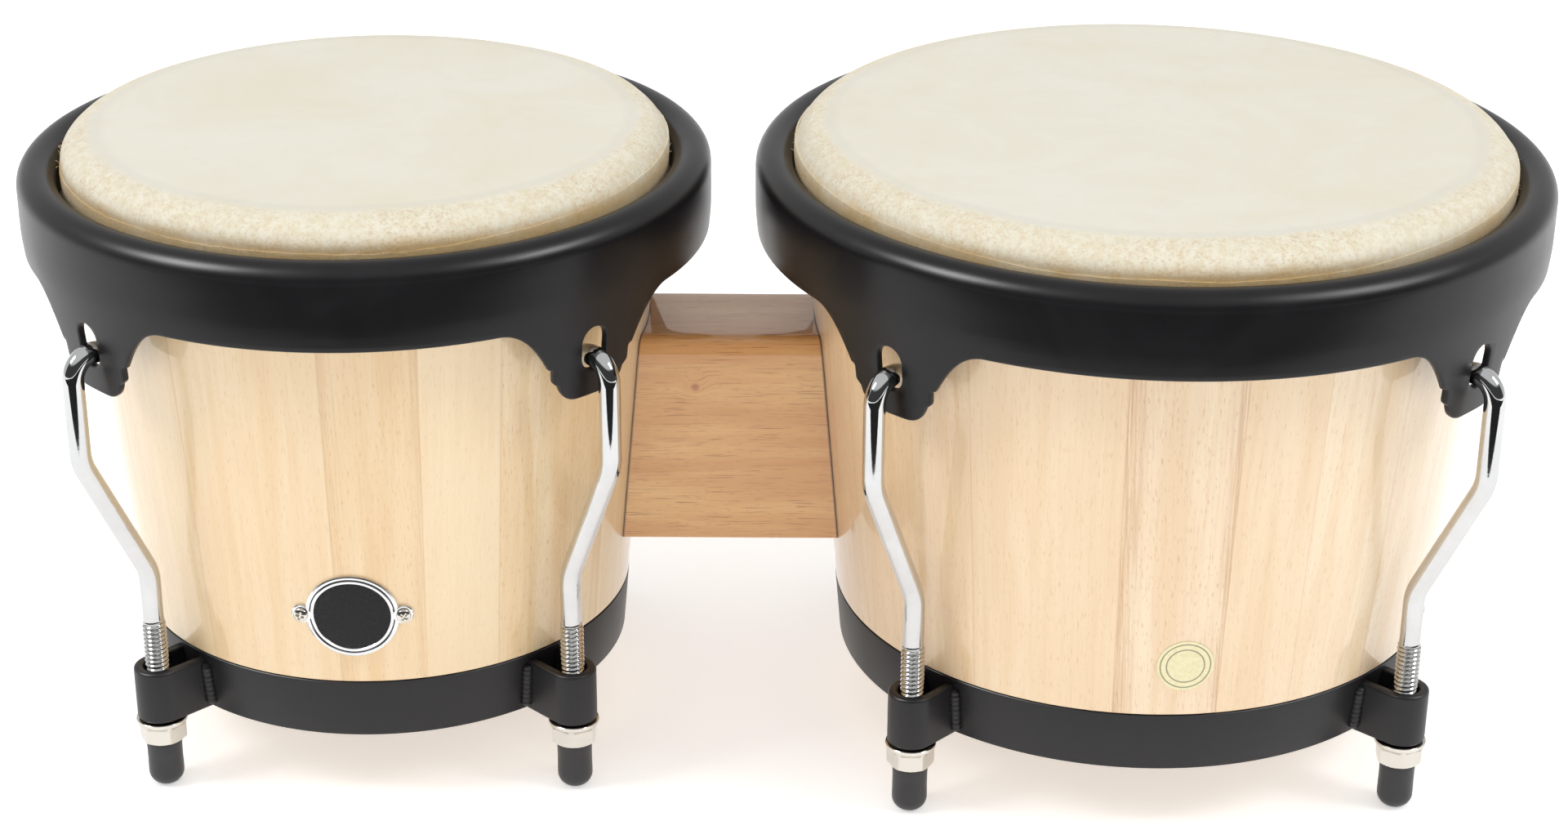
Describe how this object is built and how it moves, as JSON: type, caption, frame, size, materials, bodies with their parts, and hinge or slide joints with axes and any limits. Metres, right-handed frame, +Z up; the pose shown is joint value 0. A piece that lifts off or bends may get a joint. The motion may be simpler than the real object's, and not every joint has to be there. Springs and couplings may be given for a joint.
{
  "type": "bongo drums",
  "caption": "Bongo drums: staved wooden shells joined by a centre block, each with a rawhide head under a curved black rim pulled down by hooked tuning rods.",
  "frame": {"origin": "centre of the bounding box, on the plane under the rod caps", "axes": "+X from the small drum to the large drum, +Z up out of the heads, -Y the front with the badge"},
  "size_m": [0.405, 0.2108, 0.1707],
  "materials": {
    "shell_wood": "pale staved wood under high-gloss lacquer",
    "block_wood": "warm straight-grained wood under high-gloss lacquer",
    "black_steel": "satin black powder coat",
    "rawhide": "matte mottled natural rawhide",
    "hoop_steel": "plain steel ring",
    "rod_chrome": "mirror chrome",
    "nut_nickel": "bright nickel, slightly warm",
    "zinc_steel": "zinc plated",
    "black_vinyl": "satin dipped vinyl",
    "badge_metal": "satin metal with a black centre",
    "label_paper": "pale yellow sticker"
  },
  "bodies": {
    "shell_frame": {"macho_shell": "shell_wood", "macho_bottom_ring": "black_steel", "macho_head_skin": "rawhide", "macho_washer_lower": "zinc_steel", "macho_washer_upper": "zinc_steel", "hembra_shell": "shell_wood", "hembra_bottom_ring": "black_steel", "hembra_head_skin": "rawhide", "hembra_washer_lower": "zinc_steel", "hembra_washer_upper": "zinc_steel", "centre_block": "block_wood", "block_bolt_lower": "zinc_steel", "block_bolt_upper": "zinc_steel", "block_nut_lower": "zinc_steel", "block_nut_upper": "zinc_steel", "badge_plate": "badge_metal", "badge_screw_left": "nut_nickel", "badge_screw_right": "nut_nickel", "round_label": "label_paper"},
    "macho_rim_set": {"macho_rim": "black_steel", "macho_flesh_hoop": "hoop_steel", "macho_rod_front_left": "rod_chrome", "macho_rod_front_right": "rod_chrome", "macho_rod_back_right": "rod_chrome", "macho_rod_back_left": "rod_chrome", "macho_cap_front_left": "black_vinyl", "macho_cap_front_right": "black_vinyl", "macho_cap_back_right": "black_vinyl", "macho_cap_back_left": "black_vinyl"},
    "hembra_rim_set": {"hembra_rim": "black_steel", "hembra_flesh_hoop": "hoop_steel", "hembra_rod_front_left": "rod_chrome", "hembra_rod_front_right": "rod_chrome", "hembra_rod_back_right": "rod_chrome", "hembra_rod_back_left": "rod_chrome", "hembra_cap_front_left": "black_vinyl", "hembra_cap_front_right": "black_vinyl", "hembra_cap_back_right": "black_vinyl", "hembra_cap_back_left": "black_vinyl"},
    "macho_nut_body_front_left": {"macho_nut_front_left": "nut_nickel"},
    "macho_nut_body_front_right": {"macho_nut_front_right": "nut_nickel"},
    "macho_nut_body_back_right": {"macho_nut_back_right": "nut_nickel"},
    "macho_nut_body_back_left": {"macho_nut_back_left": "nut_nickel"},
    "hembra_nut_body_front_left": {"hembra_nut_front_left": "nut_nickel"},
    "hembra_nut_body_front_right": {"hembra_nut_front_right": "nut_nickel"},
    "hembra_nut_body_back_right": {"hembra_nut_back_right": "nut_nickel"},
    "hembra_nut_body_back_left": {"hembra_nut_back_left": "nut_nickel"}
  },
  "joints": [
    {"name": "macho_tune", "type": "slide", "parent": "shell_frame", "child": "macho_rim_set", "axis": [0, 0, -1], "range_m": [0, 0.004], "deforming": ["macho_head_skin"]},
    {"name": "hembra_tune", "type": "slide", "parent": "shell_frame", "child": "hembra_rim_set", "axis": [0, 0, -1], "range_m": [0, 0.004], "deforming": ["hembra_head_skin"]},
    {"name": "macho_nut_turn_front_left", "type": "hinge", "parent": "shell_frame", "child": "macho_nut_body_front_left", "pos_m": [-0.16645, -0.05515, 0.0171], "axis": [0, 0, 1], "range_deg": [0, 1140]},
    {"name": "macho_nut_turn_front_right", "type": "hinge", "parent": "shell_frame", "child": "macho_nut_body_front_right", "pos_m": [-0.05615, -0.05515, 0.0171], "axis": [0, 0, 1], "range_deg": [0, 1140]},
    {"name": "macho_nut_turn_back_right", "type": "hinge", "parent": "shell_frame", "child": "macho_nut_body_back_right", "pos_m": [-0.05615, 0.05515, 0.0171], "axis": [0, 0, 1], "range_deg": [0, 1140]},
    {"name": "macho_nut_turn_back_left", "type": "hinge", "parent": "shell_frame", "child": "macho_nut_body_back_left", "pos_m": [-0.16645, 0.05515, 0.0171], "axis": [0, 0, 1], "range_deg": [0, 1140]},
    {"name": "hembra_nut_turn_front_left", "type": "hinge", "parent": "shell_frame", "child": "hembra_nut_body_front_left", "pos_m": [0.03365, -0.06662, 0.0171], "axis": [0, 0, 1], "range_deg": [0, 1140]},
    {"name": "hembra_nut_turn_front_right", "type": "hinge", "parent": "shell_frame", "child": "hembra_nut_body_front_right", "pos_m": [0.16372, -0.06345, 0.0171], "axis": [0, 0, 1], "range_deg": [0, 1140]},
    {"name": "hembra_nut_turn_back_right", "type": "hinge", "parent": "shell_frame", "child": "hembra_nut_body_back_right", "pos_m": [0.16054, 0.06662, 0.0171], "axis": [0, 0, 1], "range_deg": [0, 1140]},
    {"name": "hembra_nut_turn_back_left", "type": "hinge", "parent": "shell_frame", "child": "hembra_nut_body_back_left", "pos_m": [0.03048, 0.06345, 0.0171], "axis": [0, 0, 1], "range_deg": [0, 1140]}
  ],
  "couplings": [
    {"joint": "macho_nut_turn_front_left", "follows": "macho_tune", "rad_per_m": 4947.4},
    {"joint": "macho_nut_turn_front_right", "follows": "macho_tune", "rad_per_m": 4947.4},
    {"joint": "macho_nut_turn_back_right", "follows": "macho_tune", "rad_per_m": 4947.4},
    {"joint": "macho_nut_turn_back_left", "follows": "macho_tune", "rad_per_m": 4947.4},
    {"joint": "hembra_nut_turn_front_left", "follows": "hembra_tune", "rad_per_m": 4947.4},
    {"joint": "hembra_nut_turn_front_right", "follows": "hembra_tune", "rad_per_m": 4947.4},
    {"joint": "hembra_nut_turn_back_right", "follows": "hembra_tune", "rad_per_m": 4947.4},
    {"joint": "hembra_nut_turn_back_left", "follows": "hembra_tune", "rad_per_m": 4947.4}
  ]
}
